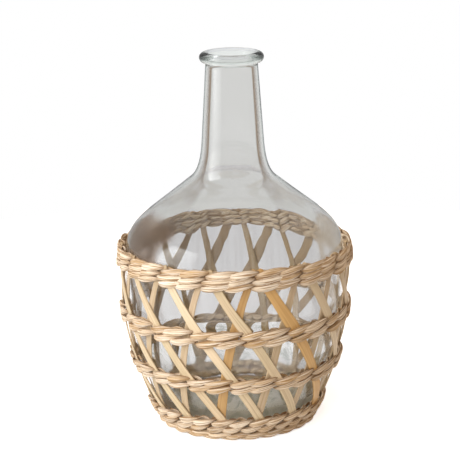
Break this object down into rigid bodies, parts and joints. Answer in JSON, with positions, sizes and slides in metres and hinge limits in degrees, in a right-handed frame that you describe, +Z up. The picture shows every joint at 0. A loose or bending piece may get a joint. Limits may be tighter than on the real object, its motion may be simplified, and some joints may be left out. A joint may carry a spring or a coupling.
{
  "type": "cane-wrapped glass vase",
  "caption": "Clear glass bottle vase with a long neck and ring lip, standing in an open basket of slanting cane strips bound by bands of twined rush.",
  "frame": {"origin": "on the bottle's axis, in the plane of the underside that the vase stands on", "axes": "+Z up along the bottle's axis, -Y towards the viewer of the picture"},
  "size_m": [0.1899, 0.1899, 0.3],
  "materials": {
    "clear_glass": "clear blown glass with a faint grey-green tint",
    "straw_cane": "flat split cane, straw to beige-green, satin, with lengthwise grain",
    "golden_cane": "flat split cane, golden orange, satin, with lengthwise grain",
    "pale_rush": "twined dried rush, pale straw, matt, wrinkled along its length",
    "border_rush": "thick twisted rush, matt",
    "mat_rush": "flat woven rush, matt"
  },
  "bodies": {
    "root": {"glass_bottle": "clear_glass", "cane_strip_01": "golden_cane", "cane_strip_02": "straw_cane", "cane_strip_03": "straw_cane", "cane_strip_04": "straw_cane", "cane_strip_05": "straw_cane", "cane_strip_06": "straw_cane", "cane_strip_07": "straw_cane", "cane_strip_08": "straw_cane", "cane_strip_09": "straw_cane", "cane_strip_10": "straw_cane", "cane_strip_11": "straw_cane", "cane_strip_12": "straw_cane", "cane_strip_13": "straw_cane", "cane_strip_14": "straw_cane", "cane_strip_15": "straw_cane", "top_band_row_1": "pale_rush", "top_band_row_2": "pale_rush", "top_band_row_3": "pale_rush", "upper_band_row_1_a": "pale_rush", "upper_band_row_1_b": "pale_rush", "upper_band_row_2_a": "pale_rush", "upper_band_row_2_b": "pale_rush", "lower_band_row_1": "pale_rush", "lower_band_row_2": "pale_rush", "base_band_row_1": "pale_rush", "base_band_row_2": "pale_rush", "base_border": "border_rush", "base_mat": "mat_rush"}
  },
  "joints": []
}
